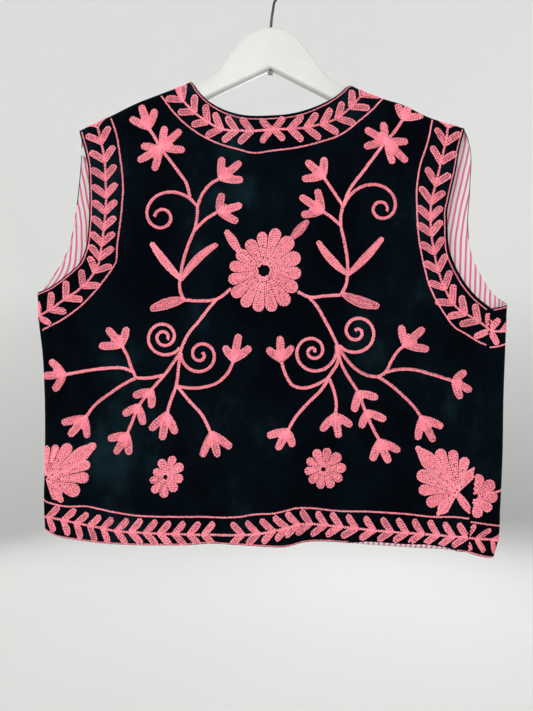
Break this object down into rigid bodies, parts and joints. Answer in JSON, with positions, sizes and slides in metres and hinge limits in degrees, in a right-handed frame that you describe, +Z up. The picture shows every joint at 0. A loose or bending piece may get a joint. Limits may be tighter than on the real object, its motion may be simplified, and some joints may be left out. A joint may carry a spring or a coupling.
{
  "type": "sleeveless folk vest on a wooden hanger",
  "caption": "Embroidered velvet folk vest with a striped lining, hanging on a flat wooden hanger with a wire hook.",
  "frame": {"origin": "inside top of the hanger's hook, where the rod or wall hook carries the part", "axes": "+Z up, +X towards the wearer's right, -Y out of the vest's back"},
  "size_m": [0.5402, 0.0655, 0.6741],
  "materials": {
    "velvet": "short velvet pile with thick pink wool chain-stitch embroidery",
    "striped_lining": "plain white cotton with narrow raspberry stripes",
    "white_paint": "satin white paint on wood",
    "dark_steel": "dark bent wire"
  },
  "bodies": {
    "root": {"back": "velvet", "front_left": "velvet", "front_right": "velvet", "lining_front_left": "striped_lining", "lining_front_right": "striped_lining", "hanger": "white_paint", "hanger_hook": "dark_steel", "hook_nut": "dark_steel"}
  },
  "joints": []
}
